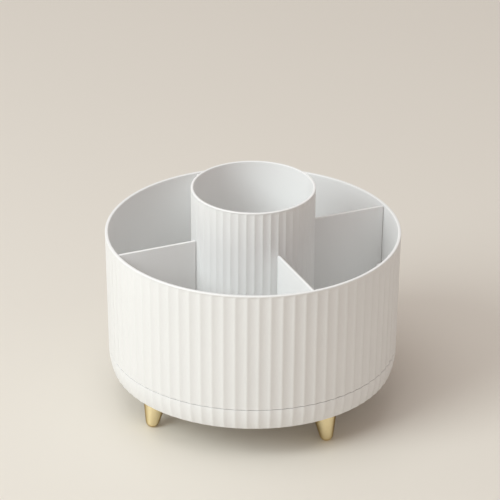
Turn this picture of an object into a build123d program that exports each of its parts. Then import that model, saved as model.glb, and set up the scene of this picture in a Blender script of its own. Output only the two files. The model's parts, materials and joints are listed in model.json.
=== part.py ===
from build123d import *
import os
from math import acos, asin, atan2, cos, degrees, hypot, radians, sin, sqrt, tan

# Rotating vanity organiser: a fluted drum with four compartments and a centre cup,
# turning on a footed base. Z is the spin axis, z = 0 is the table. Millimetres, degrees.

# Drum, with its fluted wall, its floor and the plain band at its rim
drum_radius = 100.6
drum_height = 85.6
drum_wall = 2.2
drum_floor = 2.6
drum_draft = 0.94
drum_corner_round = 3.0
rim_round = 0.6
rim_band = 1.0
flute_count = 80
flute_depth = 0.5
flute_land = 0.6
flute_turn = 1.2

# Base dish, whose wall curves in below the seam
base_height = 15.3
base_inset = 2.8
base_wall = 2.6
base_floor = 2.4
base_edge_round = 1.0
seam_gap = 0.4
seam_round = 0.2

# Lip under the drum that closes the seam from inside
lip_wall = 1.8
lip_drop = 3.0
lip_clearance = 1.2

# Splayed feet, each with a peg that a screw holds in a boss of the base
foot_count = 4
foot_height = 23.8
foot_inset = 16.2
foot_top_radius = 9.2
foot_tip_radius = 4.7
foot_flat_radius = 2.2
foot_splay = 9.5
foot_lead = 12.9
peg_radius = 4.0
peg_height = 7.0
peg_clearance = 0.1
boss_wall = 2.4
boss_roof = 2.0
screw_radius = 1.5
screw_bite = 9.0
screw_head_radius = 2.9
screw_head_height = 2.0
screw_clearance = 0.05

# Ball track between the base and the drum
ball_count = 16
ball_radius = 3.0
ball_circle = 46.0
ball_clearance = 0.1
race_width = 9.0
race_thickness = 2.2
race_groove = 1.0
cage_width = 11.0
cage_thickness = 2.0
pocket_clearance = 0.15

# Pivot: a bolt through the base and the drum, with a bush, a washer and a lock nut
bolt_radius = 3.0
bolt_fit = 0.1
bolt_head_radius = 5.5
bolt_head_height = 3.6
bolt_head_round = 1.2
bolt_socket_flats = 4.0
bolt_socket_depth = 2.0
bolt_end = 1.0
bolt_recess_depth = 4.6
bolt_recess_clearance = 1.0
post_wall = 2.6
bush_wall = 2.0
bush_fit = 0.02
bush_flange_width = 3.0
bush_flange = 1.0
running_fit = 0.08
thrust_gap = 0.2
hub_wall = 4.0
hub_height = 3.0
washer_width = 5.0
washer_thickness = 1.2
hex_sides = 6
nut_flats = 10.0
nut_height = 5.0
nut_collar_height = 1.6
nut_collar_wall = 1.4
nut_chamfer = 0.8
thread_clearance = 0.05

# Centre cup, standing over a spigot ring on the drum's floor
cup_radius = 42.2
cup_rise = 31.8
cup_wall = 1.8
cup_floor = 2.0
cup_draft = 0.2
cup_headroom = 1.5
cup_corner_round = 3.0
cup_rim_round = 0.5
cup_rim_band = 0.9
cup_flute_count = 48
cup_flute_depth = 0.4
cup_flute_land = 0.5
spigot_wall = 2.0
spigot_height = 5.0
spigot_clearance = 0.3

# Lift-out dividers and the guides that hold their edges
divider_count = 4
divider_turn = 45.0
divider_thickness = 1.8
divider_drop = 0.6
divider_top_round = 0.6
divider_end_clearance = 0.4
guide_clearance = 0.25
guide_wall = 1.4
guide_depth = 4.0
guide_drop = 44.0
floor_guide_length = 14.0
floor_guide_height = 5.0
floor_guide_gap = 3.0

# Stiffening ribs under the drum's floor and on the base's floor
rib_count = 8
rib_thickness = 1.6
rib_height = 2.2

overrun = 1.0
full_turn = 360.0
right_angle = 90.0

# Heights, from the table up
base_bottom = foot_height
base_top = base_bottom + base_height
base_floor_top = base_bottom + base_floor
drum_bottom = base_top + seam_gap
drum_floor_top = drum_bottom + drum_floor
rim = drum_bottom + drum_height
cup_top = rim + cup_rise

# Drum and base radii
drum_slope = tan(radians(drum_draft))
waist_radius = drum_radius - drum_height * drum_slope
inner_rim_radius = drum_radius - drum_wall
inner_floor_radius = inner_rim_radius - (rim - drum_floor_top) * drum_slope
base_curve = (base_height**2 + base_inset**2) / (2 * base_inset)
base_centre = waist_radius - base_curve
base_edge_radius = waist_radius - base_inset
lip_radius = waist_radius - base_wall - lip_clearance

# Feet
foot_tip_height = sqrt(foot_tip_radius**2 - foot_flat_radius**2)
foot_circle = drum_radius - foot_inset
foot_seat_circle = foot_circle - (foot_height - foot_tip_height) * tan(radians(foot_splay))
foot_turn = divider_turn + foot_lead
socket_radius = peg_radius + peg_clearance
boss_radius = socket_radius + boss_wall
socket_top = base_bottom + peg_height + peg_clearance
boss_top = socket_top + boss_roof

# Ball track
ball_height = (base_floor_top + drum_bottom) / 2
race_gap = ball_radius + ball_clearance - race_groove
lower_race_top = ball_height - race_gap
lower_race_bottom = lower_race_top - race_thickness
upper_race_bottom = ball_height + race_gap
upper_race_top = upper_race_bottom + race_thickness
track_inner = ball_circle - race_width / 2
track_outer = ball_circle + race_width / 2

# Pivot
bolt_seat = base_bottom + bolt_recess_depth
recess_radius = bolt_head_radius + bolt_recess_clearance
post_radius = recess_radius + post_wall
post_top = drum_bottom - bush_flange - thrust_gap
bush_bore = bolt_radius + running_fit
bush_radius = bush_bore + bush_wall
bush_flange_radius = bush_radius + bush_flange_width
hub_bore = bush_radius + bush_fit
hub_radius = hub_bore + hub_wall
hub_top = drum_floor_top + hub_height
washer_bottom = hub_top + thrust_gap
nut_bottom = washer_bottom + washer_thickness
nut_top = nut_bottom + nut_height + nut_collar_height
bolt_tip = nut_top + bolt_end

# Cup
cup_slope = tan(radians(cup_draft))
cup_foot_radius = cup_radius - (cup_top - drum_floor_top) * cup_slope
cup_floor_bottom = bolt_tip + cup_headroom
cup_floor_top = cup_floor_bottom + cup_floor
spigot_radius = cup_foot_radius - cup_wall - spigot_clearance

# Dividers
divider_inner = cup_radius + divider_end_clearance
divider_top = rim - divider_drop
guide_offset = divider_thickness / 2 + guide_clearance
guide_top = rim - guide_drop
floor_guide_start = divider_inner + floor_guide_gap


def polygon(*points):
    """A straight-sided outline."""
    return make_face(Polyline(*points, close=True))


def rounded(outline, radius, *corners):
    """Round the outline's corners nearest to the given points."""
    for corner in corners:
        outline = fillet(outline.vertices().sort_by_distance(corner)[0], radius)
    return outline


def lathe(outline):
    """Turn an outline, drawn as radius and height, about the spin axis."""
    return revolve(Plane.XZ * outline, Axis.Z)


def ring(inner, outer, low, high):
    """A plain ring about the spin axis."""
    return lathe(polygon((inner, low), (outer, low), (outer, high), (inner, high)))


def rod(radius, low, high):
    """A plain round bar on the spin axis."""
    return ring(0, radius, low, high)


def block(x_span, y_span, z_span):
    """A box given by its lowest and highest value on each axis."""
    spans = (x_span, y_span, z_span)
    sizes = [high - low for low, high in spans]
    corner = [low for low, high in spans]
    return Pos(*corner) * Box(*sizes, align=(Align.MIN, Align.MIN, Align.MIN))


def around(shape, count, first=0.0):
    """Copies of a shape at equal turns about the spin axis."""
    return [Rot(0, 0, first + full_turn * index / count) * shape for index in range(count)]


def flute_width(radius, count, land):
    """Width of one flute on a crest circle, beside its narrow land."""
    return 2 * radius * sin(radians(full_turn / count / 2)) - land


def flute_section(radius, width, land, depth):
    """Section of one flute on the X axis, its hollow carried on a little past the crest circle."""
    half = width / 2
    bottom = radius - depth
    rise = sqrt(radius**2 - half**2) - bottom
    hollow_radius = (half**2 + rise**2) / (2 * rise)
    reach = half + land / 4
    lip = bottom + hollow_radius - sqrt(hollow_radius**2 - reach**2)
    outside = radius + overrun
    hollow = ThreePointArc((lip, -reach), (bottom, 0), (lip, reach))
    closing = Polyline((lip, reach), (outside, reach), (outside, -reach), (lip, -reach))
    return make_face([hollow, closing])


def wall_flute(low_radius, low, high, slope, count, land, depth):
    """One straight flute that leans with a drafted wall."""
    start = low - overrun
    width = flute_width(low_radius, count, land)
    section = flute_section(low_radius - overrun * slope, width, land, depth)
    lean = Vector(slope, 0, 1)
    return extrude(Pos(0, 0, start) * section, amount=(high - start) * lean.length, dir=lean)


def base_flute():
    """One flute that follows the base's curved wall, from the seam round to its underside."""
    width = flute_width(base_edge_radius, flute_count, flute_land)
    flat_section = flute_section(waist_radius, width, flute_land, flute_depth)
    axis = Axis((base_centre, 0, base_top), (0, 1, 0))
    lead = degrees(overrun / base_curve)
    sweep = degrees(asin(base_height / base_curve)) + 2 * lead
    section = (Pos(0, 0, base_top) * flat_section).rotate(axis, -lead)
    return revolve(section, axis, revolution_arc=sweep)


def drum_shell():
    """The drum's wall and floor, with the rim rounded and the inner corner filleted."""
    outline = polygon(
        (hub_bore, drum_bottom),
        (waist_radius, drum_bottom),
        (drum_radius, rim),
        (inner_rim_radius, rim),
        (inner_floor_radius, drum_floor_top),
        (hub_bore, drum_floor_top),
    )
    outline = rounded(outline, rim_round, (drum_radius, rim), (inner_rim_radius, rim))
    outline = rounded(outline, drum_corner_round, (inner_floor_radius, drum_floor_top))
    return lathe(rounded(outline, seam_round, (waist_radius, drum_bottom)))


def divider_guides():
    """Two wall guides and two floor guides on the X axis, on both sides of one divider."""
    near = guide_offset
    far = guide_offset + guide_wall
    wall_span = (inner_floor_radius - guide_depth, inner_floor_radius + drum_wall / 2)
    floor_span = (floor_guide_start, floor_guide_start + floor_guide_length)
    wall_guide = block(wall_span, (near, far), (drum_bottom, guide_top))
    floor_guide = block(floor_span, (near, far), (drum_bottom, drum_floor_top + floor_guide_height))
    pair = [wall_guide, floor_guide]
    return pair + [mirror(guide, about=Plane.XZ) for guide in pair]


def drum():
    """The turning drum: shell, hub, cup spigot, ball-track bed, seam lip, ribs and guides."""
    hub = ring(hub_bore, hub_radius, drum_bottom, hub_top)
    spigot_top = drum_floor_top + spigot_height
    spigot = ring(spigot_radius - spigot_wall, spigot_radius, drum_bottom, spigot_top)
    bed = ring(track_inner, track_outer, upper_race_top, drum_floor_top)
    lip = ring(lip_radius - lip_wall, lip_radius, drum_bottom - lip_drop, drum_floor_top)
    rib_span = (track_outer - race_width / 2, lip_radius - lip_wall / 2)
    rib_side = (-rib_thickness / 2, rib_thickness / 2)
    rib = block(rib_span, rib_side, (drum_bottom - rib_height, drum_floor_top))
    ribs = around(rib, rib_count)
    guides = []
    for guide in divider_guides():
        guides += around(guide, divider_count, divider_turn)
    solid = drum_shell() + [hub, spigot, bed, lip] + ribs + guides
    high = rim - rim_band
    flute = wall_flute(waist_radius, drum_bottom, high, drum_slope, flute_count, flute_land, flute_depth)
    return solid - around(flute, flute_count, flute_turn + full_turn / flute_count / 2)


def base_shell():
    """The base's flat floor and its wall, which curves in to the underside."""
    inner_curve = base_curve - base_wall
    outer_sweep = asin(base_height / base_curve)
    inner_sweep = asin((base_top - base_floor_top) / inner_curve)

    def on_curve(radius, sweep):
        return (base_centre + radius * cos(sweep), base_top - radius * sin(sweep))

    outer_low = on_curve(base_curve, outer_sweep)
    inner_low = on_curve(inner_curve, inner_sweep)
    outer_high = on_curve(base_curve, 0)
    inner_high = on_curve(inner_curve, 0)
    outer = ThreePointArc(outer_low, on_curve(base_curve, outer_sweep / 2), outer_high)
    inner = ThreePointArc(inner_high, on_curve(inner_curve, inner_sweep / 2), inner_low)
    floor = Polyline(inner_low, (0, base_floor_top), (0, base_bottom), outer_low)
    outline = make_face([outer, Line(outer_high, inner_high), inner, floor])
    outline = rounded(outline, base_edge_round, outer_low)
    return lathe(rounded(outline, seam_round, outer_high))


def base_dish():
    """The base: shell, pivot post, ball-track bed, ribs and foot bosses, with their holes."""
    post = rod(post_radius, base_bottom, post_top)
    bed = ring(track_inner, track_outer, base_bottom, lower_race_bottom)
    rib_span = (post_radius - post_wall / 2, track_inner + race_width / 2)
    rib_side = (-rib_thickness / 2, rib_thickness / 2)
    rib = block(rib_span, rib_side, (base_bottom, base_floor_top + rib_height))
    seat = Pos(foot_seat_circle, 0, 0)
    boss = seat * rod(boss_radius, base_bottom, boss_top)
    bosses = around(boss, foot_count, foot_turn)
    socket = seat * rod(socket_radius, base_bottom - overrun, socket_top)
    screw_hole = seat * rod(screw_radius + screw_clearance, base_bottom, boss_top + overrun)
    holes = around(socket, foot_count, foot_turn) + around(screw_hole, foot_count, foot_turn)
    bolt_hole = rod(bolt_radius + bolt_fit, base_bottom - overrun, post_top + overrun)
    recess = rod(recess_radius, base_bottom - overrun, bolt_seat)
    flutes = around(base_flute(), flute_count, flute_turn + full_turn / flute_count / 2)
    solid = base_shell() + [post, bed] + around(rib, rib_count) + bosses
    return solid - (holes + [bolt_hole, recess]) - flutes


def foot_body():
    """A tapered foot with a ball tip, upright, its seat centre at the origin."""
    tip_depth = (foot_height - foot_tip_height) / cos(radians(foot_splay))
    reach = hypot(foot_top_radius, tip_depth)
    taper = acos(foot_tip_radius / reach) - atan2(tip_depth, foot_top_radius)
    above = foot_top_radius * tan(radians(foot_splay)) + overrun
    top_radius = foot_top_radius + above * tan(taper)
    half_turn = (radians(right_angle) + taper) / 2
    shoulder = (foot_tip_radius * cos(taper), -tip_depth - foot_tip_radius * sin(taper))
    middle = (foot_tip_radius * cos(half_turn), -tip_depth - foot_tip_radius * sin(half_turn))
    tip = (0, -tip_depth - foot_tip_radius)
    sides = Polyline(tip, (0, above), (top_radius, above), shoulder)
    return lathe(make_face([sides, ThreePointArc(shoulder, middle, tip)]))


def foot():
    """One splayed foot on the X axis, cut flat at its seat and its tip, with peg and screw hole."""
    seat = Pos(foot_seat_circle, 0, foot_height)
    half = foot_height + foot_top_radius
    middle = (foot_seat_circle - half, foot_seat_circle + half)
    slab = block(middle, (-half, half), (0, foot_height))
    body = seat * Rot(0, -foot_splay, 0) * foot_body() & slab
    peg = seat * rod(peg_radius, -peg_radius, peg_height)
    depth = screw_bite + screw_clearance
    screw_hole = seat * rod(screw_radius + screw_clearance, peg_height - depth, peg_height + overrun)
    return body + peg - screw_hole


def foot_screw():
    """One screw from inside the base, through the boss roof into the foot's peg."""
    seat = Pos(foot_seat_circle, 0, 0)
    tip = foot_height + peg_height - screw_bite
    head_outline = polygon(
        (0, boss_top),
        (screw_head_radius, boss_top),
        (screw_head_radius, boss_top + screw_head_height),
        (0, boss_top + screw_head_height),
    )
    corner = (screw_head_radius, boss_top + screw_head_height)
    head = lathe(rounded(head_outline, screw_head_height / 2, corner))
    return seat * (head + rod(screw_radius, tip, boss_top))


def race(low):
    """One grooved race ring of the ball track."""
    groove = Pos(0, 0, ball_height) * Torus(ball_circle, ball_radius + ball_clearance)
    return ring(track_inner, track_outer, low, low + race_thickness) - groove


def ball_cage():
    """The flat cage that spaces the balls."""
    inner = ball_circle - cage_width / 2
    outer = ball_circle + cage_width / 2
    low = ball_height - cage_thickness / 2
    high = ball_height + cage_thickness / 2
    pocket = Pos(ball_circle, 0, 0) * rod(ball_radius + pocket_clearance, low - overrun, high + overrun)
    return ring(inner, outer, low, high) - around(pocket, ball_count)


def bearing_balls():
    """All the balls of the track."""
    return around(Pos(ball_circle, 0, ball_height) * Sphere(ball_radius), ball_count)


def hex_bar(flats, low, high):
    """A hexagonal bar on the spin axis."""
    section = RegularPolygon(flats / 2, hex_sides, major_radius=False)
    return extrude(Pos(0, 0, low) * section, amount=high - low)


def pivot_bolt():
    """The pivot bolt: a rounded head with a hexagon socket, under the base, and a plain shank."""
    head_low = bolt_seat - bolt_head_height
    outline = polygon(
        (0, head_low),
        (bolt_head_radius, head_low),
        (bolt_head_radius, bolt_seat),
        (0, bolt_seat),
    )
    head = lathe(rounded(outline, bolt_head_round, (bolt_head_radius, head_low)))
    socket = hex_bar(bolt_socket_flats, head_low - overrun, head_low + bolt_socket_depth)
    return head + rod(bolt_radius, bolt_seat, bolt_tip) - socket


def pivot_bush():
    """The flanged bush in the drum's hub, running on the bolt and on the post."""
    sleeve = ring(bush_bore, bush_radius, drum_bottom - bush_flange, hub_top)
    return sleeve + ring(bush_bore, bush_flange_radius, drum_bottom - bush_flange, drum_bottom)


def pivot_washer():
    """The washer that keeps the drum down on the base."""
    bore = bolt_radius + bolt_fit
    return ring(bore, bore + washer_width, washer_bottom, nut_bottom)


def lock_nut():
    """The lock nut on the bolt, chamfered, with the collar of its insert."""
    hex_top = nut_bottom + nut_height
    corner_radius = nut_flats / 2 / cos(radians(full_turn / hex_sides / 2))
    envelope = polygon(
        (0, nut_bottom),
        (corner_radius, nut_bottom),
        (corner_radius, hex_top - nut_chamfer / 2),
        (corner_radius - nut_chamfer, hex_top),
        (0, hex_top),
    )
    body = hex_bar(nut_flats, nut_bottom, hex_top) & lathe(envelope)
    collar = rod(bolt_radius + nut_collar_wall, nut_bottom, nut_top)
    return body + collar - rod(bolt_radius + thread_clearance, nut_bottom - overrun, nut_top + overrun)


def centre_cup():
    """The lift-out cup: fluted wall, raised floor, and a skirt that drops over the spigot."""
    foot_inner = cup_foot_radius - cup_wall
    under_floor = foot_inner + (cup_floor_bottom - drum_floor_top) * cup_slope
    over_floor = foot_inner + (cup_floor_top - drum_floor_top) * cup_slope
    outline = polygon(
        (0, cup_floor_bottom),
        (under_floor, cup_floor_bottom),
        (foot_inner, drum_floor_top),
        (cup_foot_radius, drum_floor_top),
        (cup_radius, cup_top),
        (cup_radius - cup_wall, cup_top),
        (over_floor, cup_floor_top),
        (0, cup_floor_top),
    )
    rim_corners = [(cup_radius, cup_top), (cup_radius - cup_wall, cup_top)]
    outline = rounded(outline, cup_rim_round, *rim_corners)
    outline = rounded(outline, cup_corner_round, (over_floor, cup_floor_top))
    high = cup_top - cup_rim_band
    flutes = (cup_flute_count, cup_flute_land, cup_flute_depth)
    flute = wall_flute(cup_foot_radius, drum_floor_top, high, cup_slope, *flutes)
    first = divider_turn + full_turn / cup_flute_count / 2
    return lathe(outline) - around(flute, cup_flute_count, first)


def divider():
    """One divider on the X axis, its outer edge along the drum's wall, its top edge rounded."""
    low_outer = inner_floor_radius - divider_end_clearance
    high_outer = low_outer + (divider_top - drum_floor_top) * drum_slope
    corner = drum_corner_round
    outline = polygon(
        (divider_inner, drum_floor_top),
        (low_outer - corner, drum_floor_top),
        (low_outer, drum_floor_top + corner),
        (high_outer, divider_top),
        (divider_inner, divider_top),
    )
    plate = extrude(Plane.XZ * outline, amount=divider_thickness / 2, both=True)
    top_edges = plate.edges().filter_by(Axis.X).group_by(Axis.Z)[-1]
    return fillet(top_edges, divider_top_round)


def all_nodes():
    """Every piece of the organiser, by its node name."""
    nodes = {
        "base_dish": base_dish(),
        "foot_screws": Compound(around(foot_screw(), foot_count, foot_turn)),
        "lower_race": race(lower_race_bottom),
        "ball_cage": ball_cage(),
        "bearing_balls": Compound(bearing_balls()),
        "upper_race": race(upper_race_bottom),
        "pivot_bolt": pivot_bolt(),
        "pivot_bush": pivot_bush(),
        "pivot_washer": pivot_washer(),
        "lock_nut": lock_nut(),
        "drum": drum(),
        "centre_cup": centre_cup(),
    }
    for index, piece in enumerate(around(foot(), foot_count, foot_turn)):
        nodes[f"foot_{index + 1}"] = piece
    for index, piece in enumerate(around(divider(), divider_count, divider_turn)):
        nodes[f"divider_{index + 1}"] = piece
    return nodes


os.makedirs("parts", exist_ok=True)
for name, shape in all_nodes().items():
    export_step(shape, f"parts/{name}.step")
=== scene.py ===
import json
from math import acos, asin, atan2, cos, hypot, pi, radians, sin, sqrt, tan

import bmesh
import bpy
from mathutils import Matrix, Quaternion, Vector

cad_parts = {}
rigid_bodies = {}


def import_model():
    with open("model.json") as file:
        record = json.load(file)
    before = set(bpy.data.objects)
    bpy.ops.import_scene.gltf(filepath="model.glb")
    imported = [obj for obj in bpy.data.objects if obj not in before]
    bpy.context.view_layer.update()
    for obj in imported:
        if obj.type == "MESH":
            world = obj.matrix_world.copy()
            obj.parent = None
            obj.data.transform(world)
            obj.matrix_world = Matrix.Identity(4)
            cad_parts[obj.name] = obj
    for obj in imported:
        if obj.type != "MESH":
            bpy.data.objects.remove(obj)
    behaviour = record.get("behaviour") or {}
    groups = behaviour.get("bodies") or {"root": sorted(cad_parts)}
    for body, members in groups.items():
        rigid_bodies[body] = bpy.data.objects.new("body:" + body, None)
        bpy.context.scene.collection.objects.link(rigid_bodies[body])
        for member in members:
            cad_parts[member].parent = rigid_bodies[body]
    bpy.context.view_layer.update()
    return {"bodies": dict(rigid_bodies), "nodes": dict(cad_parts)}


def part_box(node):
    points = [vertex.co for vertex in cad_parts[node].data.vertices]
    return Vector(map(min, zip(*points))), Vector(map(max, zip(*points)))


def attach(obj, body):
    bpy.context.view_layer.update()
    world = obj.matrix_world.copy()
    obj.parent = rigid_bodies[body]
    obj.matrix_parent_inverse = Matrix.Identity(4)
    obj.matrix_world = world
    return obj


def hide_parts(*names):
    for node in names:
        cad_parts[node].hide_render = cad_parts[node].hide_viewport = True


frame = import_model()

# Rotating vanity organiser: its shells in fine mesh, their finishes, and the studio round them.
# Metres and radians. The spin axis is Z, the table is at z = 0.

for spare in set(bpy.data.objects) - set(frame["nodes"].values()) - set(frame["bodies"].values()):
    bpy.data.objects.remove(spare)

MM = 0.001
TURN = 2 * pi

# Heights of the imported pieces
BASE_LOW, BASE_HIGH = (corner.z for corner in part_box("base_dish"))
LIP_LOW, RIM = (corner.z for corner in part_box("drum"))
FLOOR, DIVIDER_TOP = (corner.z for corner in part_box("divider_1"))
CUP_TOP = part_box("centre_cup")[1].z
BUSH_LOW, HUB_TOP = (corner.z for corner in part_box("pivot_bush"))
BOLT_LOW, BOLT_TIP = (corner.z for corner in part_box("pivot_bolt"))
NUT_LOW, NUT_TOP = (corner.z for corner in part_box("lock_nut"))
LOWER_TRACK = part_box("lower_race")[0].z
UPPER_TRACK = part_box("upper_race")[1].z
TRACK_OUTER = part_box("lower_race")[1].x
TRACK_WIDTH = 9 * MM
TRACK_INNER = TRACK_OUTER - TRACK_WIDTH

# Drum
DRUM_RADIUS = 100.6 * MM
DRUM_WALL = 2.2 * MM
DRUM_SLOPE = tan(radians(0.94))
DRUM_LOW = BASE_HIGH + 0.4 * MM
WAIST = DRUM_RADIUS - (RIM - DRUM_LOW) * DRUM_SLOPE
INNER_RIM = DRUM_RADIUS - DRUM_WALL
INNER_FLOOR = INNER_RIM - (RIM - FLOOR) * DRUM_SLOPE
RIM_BAND = 1 * MM
RIM_ROUND = 0.6 * MM
FLOOR_ROUND = 3 * MM
SEAM_ROUND = 0.2 * MM
LIP_OUTER = WAIST - 3.8 * MM
LIP_INNER = LIP_OUTER - 1.8 * MM
HUB_BORE = 5.1 * MM
HUB_RADIUS = 9.1 * MM
SMALL_ROUND = 0.4 * MM
RIBS = 8
RIB_HALF = 0.8 * MM
RIB_HEIGHT = 2.2 * MM

# Flutes of the drum and base, and of the cup
FLUTES = 80
FLUTE_STEPS = 16
FLUTE_DEPTH = 0.5 * MM
FLUTE_LAND = 0.6 * MM
FLUTE_END = 0.6 * MM
FLUTE_END_ROWS = (1, 0.8, 0.5, 0.25, 0.08, 0)
FLUTE_TURN = radians(1.2)
CUP_FLUTES = 48
CUP_FLUTE_STEPS = 20
CUP_FLUTE_DEPTH = 0.4 * MM
CUP_FLUTE_LAND = 0.5 * MM

# Cup and the spigot ring that it stands over
CUP_RADIUS = 42.2 * MM
CUP_WALL = 1.8 * MM
CUP_SLOPE = tan(radians(0.2))
CUP_FOOT = CUP_RADIUS - (CUP_TOP - FLOOR) * CUP_SLOPE
CUP_FLOOR_LOW = BOLT_TIP + 1.5 * MM
CUP_FLOOR_HIGH = CUP_FLOOR_LOW + 2 * MM
CUP_RIM_BAND = 0.9 * MM
CUP_RIM_ROUND = 0.5 * MM
SPIGOT_RADIUS = CUP_FOOT - CUP_WALL - 0.3 * MM
SPIGOT_INNER = SPIGOT_RADIUS - 2 * MM
SPIGOT_TOP = FLOOR + 5 * MM

# Base dish
BASE_WALL = 2.6 * MM
BASE_FLOOR = BASE_LOW + 2.4 * MM
BASE_INSET = 2.8 * MM
BASE_EDGE = WAIST - BASE_INSET
BASE_EDGE_ROUND = 1 * MM
BASE_CURVE = ((BASE_HIGH - BASE_LOW) ** 2 + BASE_INSET**2) / (2 * BASE_INSET)
BASE_CENTRE = WAIST - BASE_CURVE
BASE_FLAT = BASE_EDGE - 4 * MM
POST_RADIUS = 9.1 * MM
POST_TOP = BUSH_LOW - 0.2 * MM
RECESS_RADIUS = 6.5 * MM
RECESS_TOP = BASE_LOW + 4.6 * MM
BOLT_BORE = 3.1 * MM

# Feet
FEET = 4
FOOT_TURN = radians(57.9)
FOOT_CIRCLE = 84.4 * MM
FOOT_SPLAY = radians(9.5)
FOOT_TOP_RADIUS = 9.2 * MM
FOOT_TIP_RADIUS = 4.7 * MM
FOOT_FLAT_RADIUS = 2.2 * MM
FOOT_TIP_HEIGHT = sqrt(FOOT_TIP_RADIUS**2 - FOOT_FLAT_RADIUS**2)
FOOT_SEAT = FOOT_CIRCLE - (BASE_LOW - FOOT_TIP_HEIGHT) * tan(FOOT_SPLAY)
FOOT_STEPS = 72
PEG_RADIUS = 4 * MM
PEG_TOP = BASE_LOW + 7 * MM
BOSS_RADIUS = 6.5 * MM
BOSS_TOP = BASE_LOW + 9.1 * MM

# Dividers and their guides
DIVIDERS = 4
DIVIDER_TURN = radians(45)
DIVIDER_HALF = 0.9 * MM
DIVIDER_ROUND = 0.5 * MM
DIVIDER_INNER = CUP_RADIUS + 0.4 * MM
DIVIDER_OUTER = INNER_FLOOR - 0.4 * MM
GUIDE_NEAR = DIVIDER_HALF + 0.25 * MM
GUIDE_FAR = GUIDE_NEAR + 1.4 * MM
GUIDE_DEPTH = 4 * MM
GUIDE_TOP = RIM - 44 * MM
GUIDE_ROUND = 0.35 * MM
FLOOR_GUIDE_START = DIVIDER_INNER + 3 * MM
FLOOR_GUIDE_END = FLOOR_GUIDE_START + 14 * MM
FLOOR_GUIDE_TOP = FLOOR + 5 * MM

# Balls of the track
BALLS = 16
BALL_LOW, BALL_HIGH = (corner.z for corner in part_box("bearing_balls"))
BALL_RADIUS = (BALL_HIGH - BALL_LOW) / 2
BALL_CIRCLE = (TRACK_INNER + TRACK_OUTER) / 2
BALL_STEPS = 32

# Pivot bolt and its lock nut
BOLT_RADIUS = 3 * MM
BOLT_HEAD_RADIUS = 5.5 * MM
BOLT_HEAD_ROUND = 1.2 * MM
SOCKET_HALF = 2 * MM
SOCKET_DEPTH = 2 * MM
SOCKET_CHAMFER = 0.4 * MM
THREAD_LOW = NUT_LOW - 1.5 * MM
THREAD_PITCH = 1 * MM
THREAD_DEPTH = 0.61 * MM
THREAD_ROWS = 109
THREAD_CREST = 1 / 8
THREAD_ROOT = 1 / 4
SIXTH = TURN / 6
NUT_HALF = 5 * MM
NUT_CORNER = NUT_HALF / cos(SIXTH / 2)
NUT_CHAMFER = 0.8 * MM
NUT_BORE = BOLT_RADIUS + 0.05 * MM
COLLAR_LOW = NUT_LOW + 5 * MM
COLLAR_RADIUS = BOLT_RADIUS + 1.4 * MM
COLLAR_ROUND = 0.5 * MM
INSERT_RADIUS = BOLT_RADIUS + 0.8 * MM
INSERT_TOP = NUT_TOP - 0.2 * MM
BOLT_STEPS = 72

# Camera of the photograph
VIEW_AZIMUTH = radians(21.3)
VIEW_ELEVATION = radians(26.35)
VIEW_ROLL = radians(0.32)
VIEW_DISTANCE = 2044.7 * MM
VIEW_SIDE = -2 * MM
VIEW_HEIGHT = 109.1 * MM
VIEW_LENS = 216
VIEW_SENSOR = 36

# Room light, as it falls on things and as it is seen
FILL = 0.455
FILL_COLOUR = (1, 0.88, 0.83, 1)
BACKDROP = 0.8
BACKDROP_COLOUR = (1, 0.95, 0.89, 1)
FLOOR_FADE = (0.8, 2.4)
FLOOR_SIZE = 12
FLOOR_GAP = 0.02 * MM
FLOOR_TOUCH = 0.5 * MM

# Lamps
KEY_LAMP = {"azimuth": radians(-36), "elevation": radians(36), "distance": 2.6, "size": 1.6,
            "power": 40.5, "colour": (0.90, 0.985, 1.0)}
TOP_LAMP = {"azimuth": radians(-30), "elevation": radians(72), "distance": 2.2, "size": 1.6,
            "power": 15, "colour": (0.94, 0.985, 1.0)}

# Fineness of the meshes
ARC_STEPS = 12
ROUND_STEPS = 5
GUIDE_ROUND_STEPS = 2
DIVIDER_ROUND_STEPS = 3
SHARP_ANGLE = radians(42)
JOIN_DISTANCE = 0.001 * MM


class Field:
    """A value that varies. An expression on fields adds its Math nodes."""

    def __init__(self, graph, socket):
        self.graph = graph
        self.socket = socket

    def math(self, operation, first, second):
        return self.graph.add("ShaderNodeMath", {"operation": operation}, {0: first, 1: second})

    def __add__(self, other):
        return self.math("ADD", self, other)

    def __radd__(self, other):
        return self.math("ADD", other, self)

    def __sub__(self, other):
        return self.math("SUBTRACT", self, other)

    def __rsub__(self, other):
        return self.math("SUBTRACT", other, self)

    def __mul__(self, other):
        return self.math("MULTIPLY", self, other)

    def __rmul__(self, other):
        return self.math("MULTIPLY", other, self)


class Graph:
    """The nodes of a material or of the world, round its main shader."""

    def __init__(self, owner, shader):
        owner.use_nodes = True
        self.tree = owner.node_tree
        self.shader = self.tree.nodes[shader]

    def plug(self, socket, value):
        if isinstance(value, Field):
            self.tree.links.new(value.socket, socket)
        else:
            socket.default_value = value

    def add(self, kind, settings, sockets, output=0):
        """Makes one node, its settings first, and returns one of its outputs."""
        node = self.tree.nodes.new(kind)
        for name, value in settings.items():
            setattr(node, name, value)
        for name, value in sockets.items():
            self.plug(node.inputs[name], value)
        return Field(self, node.outputs[output])

    def set(self, **sockets):
        """Sets or links the shader's own sockets."""
        for name, value in sockets.items():
            self.plug(self.shader.inputs[name.replace("_", " ")], value)

    def mix(self, factor, first, second):
        """A colour between two colours."""
        sockets = {"Factor": factor, 6: first, 7: second}
        return self.add("ShaderNodeMix", {"data_type": "RGBA"}, sockets, 2)


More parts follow.
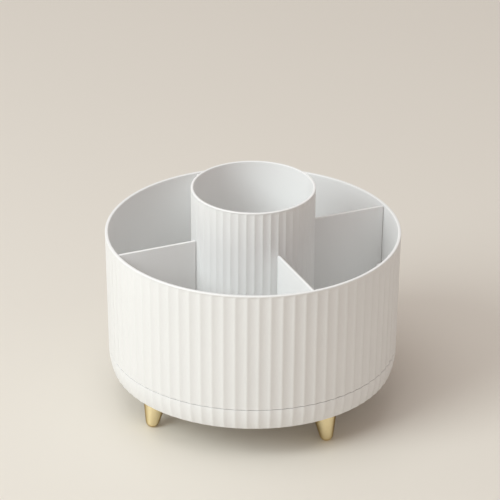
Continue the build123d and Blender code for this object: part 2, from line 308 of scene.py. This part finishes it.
class Finish(Graph):
    """One procedural material."""

    def __init__(self, name, **sockets):
        self.material = bpy.data.materials.new(name)
        super().__init__(self.material, "Principled BSDF")
        self.set(**sockets)

    def place(self, stretch=(1, 1, 1)):
        """Where a point lies in the row frame, stretched along the axes."""
        point = self.add("ShaderNodeTexCoord", {}, {}, "Object")
        return self.add("ShaderNodeMapping", {}, {"Vector": point, "Scale": stretch})

    def noise(self, size, detail=2.0, stretch=(1, 1, 1)):
        """Cloudy values round one half, with spots of about the given size."""
        sockets = {"Vector": self.place(stretch), "Scale": 1 / size, "Detail": detail}
        return self.add("ShaderNodeTexNoise", {}, sockets)

    def attribute(self, name):
        return self.add("ShaderNodeAttribute", {"attribute_name": name}, {}, "Fac")

    def bump(self, height, distance):
        return self.add("ShaderNodeBump", {}, {"Height": height, "Distance": distance}, "Normal")


def moulded_white():
    """Satin white plastic: faint clouding, a fine moulded grain, flute crests a little smoother."""
    finish = Finish("moulded_white")
    cloud = finish.noise(45 * MM, 3)
    grain = finish.noise(0.35 * MM)
    crest = finish.attribute("crest")
    shade = 0.75 * cloud + 0.25 * grain
    finish.set(
        Base_Color=finish.mix(shade, (0.82, 0.82, 0.81, 1), (0.88, 0.88, 0.872, 1)),
        Roughness=0.36 + 0.10 * cloud + 0.06 * grain - 0.06 * crest,
        Normal=finish.bump(grain, 0.03 * MM),
        IOR=1.46,
    )
    return finish


def satin_gold():
    """Gold-coloured plating with fine turned lines round each foot."""
    finish = Finish("satin_gold", Metallic=1, Specular_Tint=(0.30, 0.18, 0.06, 1))
    lines = finish.add("ShaderNodeTexNoise", {"noise_dimensions": "1D"},
                       {"W": finish.attribute("along"), "Scale": 1 / (0.12 * MM), "Detail": 2})
    cloud = finish.noise(9 * MM, 3)
    finish.set(
        Base_Color=finish.mix(cloud, (0.85, 0.72, 0.43, 1), (0.92, 0.80, 0.51, 1)),
        Roughness=0.05 + 0.04 * lines + 0.02 * cloud,
        Normal=finish.bump(lines, 0.003 * MM),
    )
    return finish


def bright_zinc():
    """Zinc-plated steel, slightly uneven in tone."""
    finish = Finish("bright_zinc", Metallic=1)
    cloud = finish.noise(4 * MM, 4)
    grain = finish.noise(0.25 * MM)
    finish.set(
        Base_Color=finish.mix(cloud, (0.50, 0.51, 0.53, 1), (0.64, 0.64, 0.65, 1)),
        Roughness=0.22 + 0.14 * cloud + 0.06 * grain,
        Normal=finish.bump(grain, 0.006 * MM),
    )
    return finish


def natural_nylon():
    """Uncoloured nylon, waxy and a little mottled."""
    finish = Finish("natural_nylon", Subsurface_Weight=0.15, Subsurface_Scale=1.5 * MM)
    cloud = finish.noise(6 * MM, 3)
    grain = finish.noise(0.3 * MM)
    finish.set(
        Base_Color=finish.mix(cloud, (0.62, 0.59, 0.50, 1), (0.70, 0.67, 0.58, 1)),
        Roughness=0.42 + 0.12 * grain,
        Normal=finish.bump(grain, 0.01 * MM),
    )
    return finish


def outline(*corners, closed=True):
    """A wire in the XZ plane through corners. A corner is its radius and height, then, where it
    has them, its rounding and the centre of the arc that leads to it."""
    bm = bmesh.new()
    rounded = []
    first = last = None
    for radius, height, *more in corners:
        if len(more) > 1:
            last = bend(bm, last, (radius, height), more[1])
        else:
            vert = bm.verts.new((radius, 0, height))
            if last:
                bm.edges.new((last, vert))
            last = vert
        first = first or last
        if more and more[0]:
            rounded.append((last, more[0]))
    if closed:
        bm.edges.new((last, first))
    for vert, rounding in rounded:
        soften(bm, vert, rounding)
    return bm


def bend(bm, vert, end, centre):
    """Carries the wire on from a vertex along an arc, and returns its last vertex."""
    start_angle = atan2(vert.co.z - centre[1], vert.co.x - centre[0])
    sweep = start_angle - atan2(end[1] - centre[1], end[0] - centre[0])
    arc = bmesh.ops.spin(bm, geom=[vert], cent=(centre[0], 0, centre[1]), axis=(0, 1, 0),
                         angle=sweep, steps=ARC_STEPS)
    return [item for item in arc["geom_last"] if isinstance(item, bmesh.types.BMVert)][0]


def soften(bm, vert, rounding):
    """Rounds one corner of a wire."""
    sides = [edge.other_vert(vert).co - vert.co for edge in vert.link_edges]
    reach = rounding / tan(sides[0].angle(sides[1]) / 2)
    bmesh.ops.bevel(bm, geom=[vert], offset=reach, offset_type="OFFSET", segments=ROUND_STEPS,
                    profile=0.5, affect="VERTICES", material=-1)


def lathe(bm, steps):
    """Turns a wire once round the spin axis into a closed skin."""
    wire = bm.verts[:] + bm.edges[:]
    bmesh.ops.spin(bm, geom=wire, cent=(0, 0, 0), axis=(0, 0, 1), angle=TURN, steps=steps,
                   use_merge=True)
    bmesh.ops.remove_doubles(bm, verts=bm.verts[:], dist=JOIN_DISTANCE)
    bmesh.ops.recalc_face_normals(bm, faces=bm.faces[:])
    return bm


def flute_cut(radius, half, depth, angle):
    """How deep a flute lies under its crest circle, at an angle from the flute's middle."""
    bottom = radius - depth
    rise = sqrt(radius**2 - half**2) - bottom
    hollow = (half**2 + rise**2) / (2 * rise)
    centre = bottom + hollow
    return radius - centre * cos(angle) + sqrt(hollow**2 - (centre * sin(angle)) ** 2)


def fluted_lathe(bm, count, steps, first_crest, narrowest, land, depth, wall):
    """Turns a wire round the spin axis with flutes in its wall: one flute is spun and sunk, then
    copied round. Its land is given at the narrowest radius of the wall. The wall says, for a radius
    and height, the share of the depth that is cut there and the way that it faces."""
    pitch = TURN / count
    half = narrowest * sin(pitch / 2) - land / 2
    wire = bm.verts[:] + bm.edges[:]
    bmesh.ops.spin(bm, geom=wire, cent=(0, 0, 0), axis=(0, 0, 1), angle=pitch, steps=steps)
    crest = bm.verts.layers.float.new("crest")
    for vert in bm.verts:
        radius = hypot(vert.co.x, vert.co.y)
        step = round(atan2(vert.co.y, vert.co.x) / pitch * steps)
        share, facing = wall(radius, vert.co.z)
        reach = asin(half / max(radius, narrowest))
        crown = pitch - 2 * reach
        offset = crown * (step - 0.5) if step < 2 else crown / 2 + 2 * reach * (step - 1) / (steps - 1)
        cut = 0
        if step in (0, 1, steps):
            vert[crest] = share
        elif share:
            cut = max(0, flute_cut(radius, half, depth, offset - pitch / 2) - (1 - share) * depth)
        angle = first_crest + offset
        sunk = radius - cut * facing[0]
        vert.co = (sunk * cos(angle), sunk * sin(angle), vert.co.z - cut * facing[1])
    sector = bm.verts[:] + bm.edges[:] + bm.faces[:]
    bmesh.ops.spin(bm, geom=sector, cent=(0, 0, 0), axis=(0, 0, 1), angle=TURN - pitch,
                   steps=count - 1, use_duplicate=True)
    bmesh.ops.remove_doubles(bm, verts=bm.verts[:], dist=JOIN_DISTANCE)
    bmesh.ops.recalc_face_normals(bm, faces=bm.faces[:])


def block(bm, low, high, turn, rounding):
    """Adds a block with softened edges, given by two corners and turned about the spin axis."""
    low, high = Vector(low), Vector(high)
    place = Matrix.Rotation(turn, 4, "Z") @ Matrix.Translation((low + high) / 2)
    made = bmesh.ops.create_cube(bm, size=1, matrix=place @ Matrix.Diagonal((*(high - low), 1)))
    edges = {edge for vert in made["verts"] for edge in vert.link_edges}
    bmesh.ops.bevel(bm, geom=list(edges), offset=rounding, offset_type="OFFSET",
                    segments=GUIDE_ROUND_STEPS, profile=0.5, affect="EDGES", material=-1)


def join(bm, other, move=Matrix.Identity(4)):
    """Adds another skin, moved, to this one."""
    bmesh.ops.transform(other, matrix=move, verts=other.verts[:])
    carrier = bpy.data.meshes.new("carrier")
    other.to_mesh(carrier)
    other.free()
    bm.from_mesh(carrier)
    bpy.data.meshes.remove(carrier)


def piece(name, bm, finish, slot, body, *nodes):
    """Makes the finished object of a skin, which rides on its body in place of its nodes."""
    mesh = bpy.data.meshes.new(name)
    bm.to_mesh(mesh)
    bm.free()
    mesh.shade_smooth()
    mesh.set_sharp_from_angle(angle=SHARP_ANGLE)
    mesh.materials.append(finish.material)
    made = bpy.data.objects.new(name, mesh)
    bpy.context.scene.collection.objects.link(made)
    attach(made, body)
    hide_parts(*nodes)


def fade(value, start, end):
    """One before the start, nothing after the end, and a quarter ellipse between."""
    share = min(1, max(0, (value - start) / (end - start)))
    return sqrt(1 - share**2)


def drum_skin():
    """The turning drum: fluted wall, floor, hub, spigot, track bed, lip, guides and ribs."""
    end = RIM - RIM_BAND
    rows = [end - FLUTE_END * share for share in FLUTE_END_ROWS]
    bm = outline(
        (HUB_BORE, DRUM_LOW),
        (TRACK_INNER, DRUM_LOW),
        (TRACK_INNER, UPPER_TRACK),
        (TRACK_OUTER, UPPER_TRACK),
        (TRACK_OUTER, DRUM_LOW),
        (LIP_INNER, DRUM_LOW),
        (LIP_INNER, LIP_LOW),
        (LIP_OUTER, LIP_LOW),
        (LIP_OUTER, DRUM_LOW),
        (WAIST, DRUM_LOW, SEAM_ROUND),
        *[(WAIST + (height - DRUM_LOW) * DRUM_SLOPE, height) for height in rows],
        (DRUM_RADIUS, RIM, RIM_ROUND),
        (INNER_RIM, RIM, RIM_ROUND),
        (INNER_FLOOR, FLOOR, FLOOR_ROUND),
        (SPIGOT_RADIUS, FLOOR),
        (SPIGOT_RADIUS, SPIGOT_TOP, SMALL_ROUND),
        (SPIGOT_INNER, SPIGOT_TOP, SMALL_ROUND),
        (SPIGOT_INNER, FLOOR),
        (HUB_RADIUS, FLOOR),
        (HUB_RADIUS, HUB_TOP, SMALL_ROUND),
        (HUB_BORE, HUB_TOP),
    )

    def wall(radius, height):
        outer = radius > WAIST - DRUM_WALL / 3
        return (fade(height, rows[0], rows[-1]) if outer else 0), (1, 0)

    fluted_lathe(bm, FLUTES, FLUTE_STEPS, FLUTE_TURN, WAIST, FLUTE_LAND, FLUTE_DEPTH, wall)
    fittings = bmesh.new()
    buried = FLOOR - DRUM_WALL / 3
    for index in range(DIVIDERS):
        turn = DIVIDER_TURN + TURN * index / DIVIDERS
        for near, far in ((GUIDE_NEAR, GUIDE_FAR), (-GUIDE_FAR, -GUIDE_NEAR)):
            outside = INNER_FLOOR + DRUM_WALL / 2
            low = (INNER_FLOOR - GUIDE_DEPTH, near, buried)
            block(fittings, low, (outside, far, GUIDE_TOP), turn, GUIDE_ROUND)
            high = (FLOOR_GUIDE_END, far, FLOOR_GUIDE_TOP)
            block(fittings, (FLOOR_GUIDE_START, near, buried), high, turn, GUIDE_ROUND)
    for index in range(RIBS):
        low = (TRACK_OUTER - DRUM_WALL, -RIB_HALF, DRUM_LOW - RIB_HEIGHT)
        high = (LIP_INNER + DRUM_WALL / 4, RIB_HALF, buried)
        block(fittings, low, high, TURN * index / RIBS, GUIDE_ROUND)
    join(bm, fittings)
    return bm


def base_skin():
    """The base dish: fluted wall that curves in, floor, post, track bed, ribs and foot bosses."""
    centre = (BASE_CENTRE, BASE_HIGH)
    inner_curve = BASE_CURVE - BASE_WALL
    inner_low = BASE_CENTRE + sqrt(inner_curve**2 - (BASE_HIGH - BASE_FLOOR) ** 2)
    bm = outline(
        (BOLT_BORE, RECESS_TOP),
        (RECESS_RADIUS, RECESS_TOP),
        (RECESS_RADIUS, BASE_LOW, SMALL_ROUND),
        (BASE_FLAT, BASE_LOW),
        (BASE_EDGE, BASE_LOW, BASE_EDGE_ROUND),
        (WAIST, BASE_HIGH, SEAM_ROUND, centre),
        (WAIST - BASE_WALL, BASE_HIGH),
        (inner_low, BASE_FLOOR, 0, centre),
        (TRACK_OUTER, BASE_FLOOR),
        (TRACK_OUTER, LOWER_TRACK),
        (TRACK_INNER, LOWER_TRACK),
        (TRACK_INNER, BASE_FLOOR),
        (POST_RADIUS, BASE_FLOOR),
        (POST_RADIUS, POST_TOP, SMALL_ROUND),
        (BOLT_BORE, POST_TOP),
    )

    def wall(radius, height):
        along, down = radius - BASE_CENTRE, BASE_HIGH - height
        away = hypot(along, down)
        share = 1 - (BASE_CURVE - away) / FLUTE_DEPTH if along > 0 else 0
        return max(0, share), (along / away, -down / away)

    fluted_lathe(bm, FLUTES, FLUTE_STEPS, FLUTE_TURN, BASE_EDGE, FLUTE_LAND, FLUTE_DEPTH, wall)
    fittings = bmesh.new()
    buried = BASE_LOW + BASE_WALL / 3
    for index in range(RIBS):
        low = (POST_RADIUS - BASE_WALL / 2, -RIB_HALF, buried)
        high = (TRACK_INNER + BASE_WALL, RIB_HALF, BASE_FLOOR + RIB_HEIGHT)
        block(fittings, low, high, TURN * index / RIBS, GUIDE_ROUND)
    for index in range(FEET):
        corners = ((0, buried), (BOSS_RADIUS, buried), (BOSS_RADIUS, BOSS_TOP, SMALL_ROUND),
                   (0, BOSS_TOP))
        boss = lathe(outline(*corners, closed=False), FOOT_STEPS)
        turn = Matrix.Rotation(FOOT_TURN + TURN * index / FEET, 4, "Z")
        join(fittings, boss, turn @ Matrix.Translation((FOOT_SEAT, 0, 0)))
    join(bm, fittings)
    return bm


def cup_skin():
    """The lift-out cup: fluted wall, raised floor, and a skirt that drops over the spigot."""
    end = CUP_TOP - CUP_RIM_BAND
    rows = [end - FLUTE_END * share for share in FLUTE_END_ROWS]
    inside = CUP_FOOT - CUP_WALL
    bm = outline(
        (0, CUP_FLOOR_LOW),
        (inside + (CUP_FLOOR_LOW - FLOOR) * CUP_SLOPE, CUP_FLOOR_LOW, SMALL_ROUND),
        (inside, FLOOR, SMALL_ROUND),
        (CUP_FOOT, FLOOR),
        *[(CUP_FOOT + (height - FLOOR) * CUP_SLOPE, height) for height in rows],
        (CUP_RADIUS, CUP_TOP, CUP_RIM_ROUND),
        (CUP_RADIUS - CUP_WALL, CUP_TOP, CUP_RIM_ROUND),
        (inside + (CUP_FLOOR_HIGH - FLOOR) * CUP_SLOPE, CUP_FLOOR_HIGH, FLOOR_ROUND),
        (0, CUP_FLOOR_HIGH),
        closed=False,
    )

    def wall(radius, height):
        outer = radius > CUP_FOOT - CUP_WALL / 3
        return (fade(height, rows[0], rows[-1]) if outer else 0), (1, 0)

    fluted_lathe(bm, CUP_FLUTES, CUP_FLUTE_STEPS, DIVIDER_TURN, CUP_FOOT, CUP_FLUTE_LAND,
                 CUP_FLUTE_DEPTH, wall)
    return bm


def foot_skin(index):
    """One splayed, tapered foot with a ball tip, flat at its seat and its tip, with its peg."""
    depth = (BASE_LOW - FOOT_TIP_HEIGHT) / cos(FOOT_SPLAY)
    taper = acos(FOOT_TIP_RADIUS / hypot(FOOT_TOP_RADIUS, depth)) - atan2(depth, FOOT_TOP_RADIUS)
    above = FOOT_TOP_RADIUS * tan(FOOT_SPLAY) + MM
    shoulder = (FOOT_TIP_RADIUS * cos(taper), -depth - FOOT_TIP_RADIUS * sin(taper))
    bm = outline(
        (0, above),
        (FOOT_TOP_RADIUS + above * tan(taper), above),
        shoulder,
        (0, -depth - FOOT_TIP_RADIUS, 0, (0, -depth)),
        closed=False,
    )
    lathe(bm, FOOT_STEPS)
    along = bm.verts.layers.float.new("along")
    for vert in bm.verts:
        vert[along] = vert.co.z
    turn = Matrix.Rotation(FOOT_TURN + TURN * index / FEET, 4, "Z")
    seat = turn @ Matrix.Translation((FOOT_SEAT, 0, BASE_LOW))
    bmesh.ops.transform(bm, matrix=seat @ Matrix.Rotation(-FOOT_SPLAY, 4, "Y"), verts=bm.verts[:])
    for height, up in ((BASE_LOW, 1), (0, -1)):
        everything = bm.verts[:] + bm.edges[:] + bm.faces[:]
        cut = bmesh.ops.bisect_plane(bm, geom=everything, dist=JOIN_DISTANCE, plane_co=(0, 0, height),
                                     plane_no=(0, 0, up), clear_outer=True)
        edges = [item for item in cut["geom_cut"] if isinstance(item, bmesh.types.BMEdge)]
        bmesh.ops.edgeloop_fill(bm, edges=edges)
    bmesh.ops.recalc_face_normals(bm, faces=bm.faces[:])
    low = BASE_LOW - PEG_RADIUS
    corners = ((0, low), (PEG_RADIUS, low), (PEG_RADIUS, PEG_TOP, SMALL_ROUND), (0, PEG_TOP))
    peg = lathe(outline(*corners, closed=False), FOOT_STEPS)
    join(bm, peg, turn @ Matrix.Translation((FOOT_SEAT, 0, 0)))
    return bm


def divider_skin(index):
    """One lift-out plate between the cup and the drum's wall, with all its edges softened."""
    outer_top = DIVIDER_OUTER + (DIVIDER_TOP - FLOOR) * DRUM_SLOPE
    corners = ((DIVIDER_INNER, FLOOR), (DIVIDER_OUTER - FLOOR_ROUND, FLOOR),
               (DIVIDER_OUTER, FLOOR + FLOOR_ROUND), (outer_top, DIVIDER_TOP),
               (DIVIDER_INNER, DIVIDER_TOP))
    bm = bmesh.new()
    face = bm.faces.new([bm.verts.new((x, -DIVIDER_HALF, z)) for x, z in corners])
    side = bmesh.ops.extrude_face_region(bm, geom=[face], use_keep_orig=True)
    moved = [item for item in side["geom"] if isinstance(item, bmesh.types.BMVert)]
    bmesh.ops.translate(bm, vec=(0, 2 * DIVIDER_HALF, 0), verts=moved)
    bmesh.ops.recalc_face_normals(bm, faces=bm.faces[:])
    bmesh.ops.bevel(bm, geom=bm.edges[:], offset=DIVIDER_ROUND, offset_type="OFFSET",
                    segments=DIVIDER_ROUND_STEPS, profile=0.5, affect="EDGES", material=-1)
    turn = Matrix.Rotation(DIVIDER_TURN + TURN * index / DIVIDERS, 3, "Z")
    bmesh.ops.rotate(bm, cent=(0, 0, 0), matrix=turn, verts=bm.verts[:])
    return bm


def balls_skin():
    """The balls of the track, evenly round it."""
    bm = bmesh.new()
    for index in range(BALLS):
        turn = Matrix.Rotation(TURN * index / BALLS, 4, "Z")
        centre = Matrix.Translation((BALL_CIRCLE, 0, (BALL_LOW + BALL_HIGH) / 2))
        bmesh.ops.create_uvsphere(bm, u_segments=BALL_STEPS, v_segments=BALL_STEPS // 2,
                                  radius=BALL_RADIUS, matrix=turn @ centre)
    return bm


def hexagon_reach(vert, half):
    """How far a hexagon reaches towards a vertex, when it reaches the given half to each flat."""
    return half / cos(atan2(vert.co.y, vert.co.x) % SIXTH - SIXTH / 2)


def set_radius(vert, radius):
    """Moves a vertex straight out from the spin axis, or in to it."""
    share = radius / hypot(vert.co.x, vert.co.y)
    vert.co.x *= share
    vert.co.y *= share


def thread_radius(vert):
    """The bolt's radius at a vertex: a 60 degree thread that fades in, and a chamfered end."""
    turn = vert.co.z / THREAD_PITCH - atan2(vert.co.y, vert.co.x) / TURN
    to_crest = abs(2 * (turn % 1) - 1)
    groove = min(1, max(0, (1 - THREAD_CREST - to_crest) / (1 - THREAD_CREST - THREAD_ROOT)))
    fade_in = min(1, (vert.co.z - THREAD_LOW) / THREAD_PITCH)
    to_end = min(1, (BOLT_TIP - vert.co.z) / THREAD_DEPTH)
    return BOLT_RADIUS - THREAD_DEPTH * max(groove * fade_in, 1 - to_end)


def bolt_skin():
    """The pivot bolt: a rounded head with a hexagon socket, and a shank with a thread at its end."""
    rise = (BOLT_TIP - THREAD_LOW) / THREAD_ROWS
    bm = lathe(outline(
        (0, BOLT_LOW + SOCKET_DEPTH),
        (SOCKET_HALF, BOLT_LOW + SOCKET_DEPTH),
        (SOCKET_HALF, BOLT_LOW + SOCKET_CHAMFER),
        (SOCKET_HALF + SOCKET_CHAMFER, BOLT_LOW),
        (BOLT_HEAD_RADIUS, BOLT_LOW, BOLT_HEAD_ROUND),
        (BOLT_HEAD_RADIUS, RECESS_TOP),
        (BOLT_RADIUS, RECESS_TOP),
        *[(BOLT_RADIUS, THREAD_LOW + rise * row) for row in range(THREAD_ROWS + 1)],
        (0, BOLT_TIP),
        closed=False,
    ), BOLT_STEPS)
    for vert in bm.verts:
        radius = hypot(vert.co.x, vert.co.y)
        if abs(radius - SOCKET_HALF) < JOIN_DISTANCE:
            set_radius(vert, hexagon_reach(vert, SOCKET_HALF))
        elif radius and vert.co.z >= THREAD_LOW:
            set_radius(vert, thread_radius(vert))
    return bm


def nut_skin():
    """The lock nut: a hexagon chamfered at both ends, and a collar rolled in over the insert."""
    ledge = NUT_CHAMFER / 2
    bm = lathe(outline(
        (NUT_BORE, NUT_LOW),
        (NUT_CORNER - NUT_CHAMFER, NUT_LOW),
        (NUT_CORNER, NUT_LOW + ledge),
        (NUT_CORNER, COLLAR_LOW - ledge),
        (NUT_CORNER - NUT_CHAMFER, COLLAR_LOW),
        (COLLAR_RADIUS, COLLAR_LOW),
        (COLLAR_RADIUS, NUT_TOP, COLLAR_ROUND),
        (INSERT_RADIUS, NUT_TOP),
        (INSERT_RADIUS, COLLAR_LOW),
        (NUT_BORE, COLLAR_LOW),
    ), BOLT_STEPS)
    for vert in bm.verts:
        if hypot(vert.co.x, vert.co.y) > NUT_CORNER - ledge:
            reach = hexagon_reach(vert, NUT_HALF)
            spare = (NUT_CORNER - reach) / 2
            vert.co.z += spare if vert.co.z > (NUT_LOW + COLLAR_LOW) / 2 else -spare
            set_radius(vert, reach)
    return bm


def insert_skin():
    """The ring in the nut's collar that grips the thread."""
    inner = BOLT_RADIUS - THREAD_DEPTH / 2
    return lathe(outline(
        (inner, COLLAR_LOW),
        (INSERT_RADIUS, COLLAR_LOW),
        (INSERT_RADIUS, INSERT_TOP),
        (inner, INSERT_TOP, SMALL_ROUND),
    ), BOLT_STEPS)


def assemble():
    """Every finely made piece in its place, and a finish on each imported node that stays."""
    white, gold, zinc, nylon = moulded_white(), satin_gold(), bright_zinc(), natural_nylon()
    piece("drum_shell", drum_skin(), white, "white_plastic", "drum", "drum")
    piece("base_shell", base_skin(), white, "white_plastic", "base", "base_dish")
    piece("cup_shell", cup_skin(), white, "white_plastic", "cup", "centre_cup")
    for index in range(FEET):
        node = f"foot_{index + 1}"
        piece(f"gold_{node}", foot_skin(index), gold, "gold_metal", "base", node)
    for index in range(DIVIDERS):
        node = f"divider_{index + 1}"
        piece(f"plate_{node}", divider_skin(index), white, "white_plastic", node, node)
    piece("steel_balls", balls_skin(), zinc, "steel", "cage", "bearing_balls")
    piece("threaded_bolt", bolt_skin(), zinc, "steel", "base", "pivot_bolt")
    piece("hexagon_nut", nut_skin(), zinc, "steel", "base", "lock_nut")
    piece("nut_insert", insert_skin(), nylon, "nylon", "base")
    kept = {"ball_cage": nylon, "pivot_bush": nylon}
    for node in ("foot_screws", "lower_race", "upper_race", "pivot_washer"):
        kept[node] = zinc
    for node, finish in kept.items():
        for place in frame["nodes"][node].material_slots:
            place.material = finish.material


def pale_table():
    """A plain pale surface, faintly satin, that runs out into the backdrop. It is clear from below,
    and right under the feet, so that their flat tips show."""
    finish = Finish("pale_table")
    cloud = finish.noise(300 * MM, 2)
    grain = finish.noise(4 * MM, 2)
    finish.set(
        Base_Color=finish.mix(cloud, (0.748, 0.707, 0.637, 1), (0.764, 0.723, 0.653, 1)),
        Roughness=0.42 + 0.06 * grain,
    )
    below = finish.add("ShaderNodeNewGeometry", {}, {}, "Backfacing")
    camera_ray = finish.add("ShaderNodeLightPath", {}, {}, "Is Camera Ray")
    away = finish.add("ShaderNodeVectorMath", {"operation": "LENGTH"}, {0: finish.place()}, "Value")
    far = finish.add("ShaderNodeMapRange", {"interpolation_type": "SMOOTHSTEP"},
                     {"Value": away, "From Min": FLOOR_FADE[0], "From Max": FLOOR_FADE[1]})
    reach = finish.add("ShaderNodeLightPath", {}, {}, "Ray Length")
    touch = finish.add("ShaderNodeMath", {"operation": "LESS_THAN"}, {0: reach, 1: FLOOR_TOUCH})
    kept = (1 - below) * (1 - far * camera_ray) * (1 - touch)
    clear = finish.add("ShaderNodeBsdfTransparent", {}, {})
    solid = Field(finish, finish.shader.outputs[0])
    seen = finish.add("ShaderNodeMixShader", {}, {0: kept, 1: clear, 2: solid})
    finish.plug(finish.tree.nodes["Material Output"].inputs["Surface"], seen)
    return finish


def table_top():
    """The table that the feet stand on."""
    bm = bmesh.new()
    low = Matrix.Translation((0, 0, -FLOOR_GAP))
    bmesh.ops.create_grid(bm, x_segments=1, y_segments=1, size=FLOOR_SIZE, matrix=low)
    mesh = bpy.data.meshes.new("table_top")
    bm.to_mesh(mesh)
    bm.free()
    mesh.materials.append(pale_table().material)
    table = bpy.data.objects.new("table_top", mesh)
    bpy.context.scene.collection.objects.link(table)


def direction(azimuth, elevation):
    """From the object to a viewer: azimuth 0 stands at -Y, 90 degrees at +X."""
    flat = cos(elevation)
    return Vector((sin(azimuth) * flat, -cos(azimuth) * flat, sin(elevation)))


def lamp(name, azimuth, elevation, distance, size, power, colour):
    """A large soft lamp that faces the object, placed as the views are."""
    data = bpy.data.lights.new(name, "AREA")
    data.shape = "DISK"
    data.size = size
    data.energy = power
    data.color = colour
    light = bpy.data.objects.new(name, data)
    away = direction(azimuth, elevation)
    light.location = away * distance + Vector((0, 0, VIEW_HEIGHT))
    light.rotation_mode = "QUATERNION"
    light.rotation_quaternion = away.to_track_quat("Z", "Y")
    bpy.context.scene.collection.objects.link(light)


def studio():
    """A soft lamp at the photograph's left, a weaker one above, a warm room all round, the camera."""
    scene = bpy.context.scene
    scene.view_settings.view_transform = "Standard"
    scene.world = bpy.data.worlds.new("room")
    room = Graph(scene.world, "Background")
    rays = [room.add("ShaderNodeLightPath", {}, {}, f"Is {kind} Ray")
            for kind in ("Camera", "Glossy", "Transmission")]
    seen = rays[0] + rays[1] + rays[2]
    room.set(
        Color=room.mix(seen, FILL_COLOUR, BACKDROP_COLOUR),
        Strength=FILL + (BACKDROP - FILL) * seen,
    )
    lamp("key_lamp", **KEY_LAMP)
    lamp("top_lamp", **TOP_LAMP)
    camera_data = bpy.data.cameras.new("photo_camera")
    camera_data.lens = VIEW_LENS
    camera_data.sensor_width = VIEW_SENSOR
    camera = bpy.data.objects.new("photo_camera", camera_data)
    away = direction(VIEW_AZIMUTH, VIEW_ELEVATION)
    side = Vector((cos(VIEW_AZIMUTH), sin(VIEW_AZIMUTH), 0))
    camera.location = side * VIEW_SIDE + Vector((0, 0, VIEW_HEIGHT)) + away * VIEW_DISTANCE
    camera.rotation_mode = "QUATERNION"
    camera.rotation_quaternion = away.to_track_quat("Z", "Y") @ Quaternion((0, 0, 1), VIEW_ROLL)
    scene.collection.objects.link(camera)
    scene.camera = camera


assemble()
table_top()
studio()
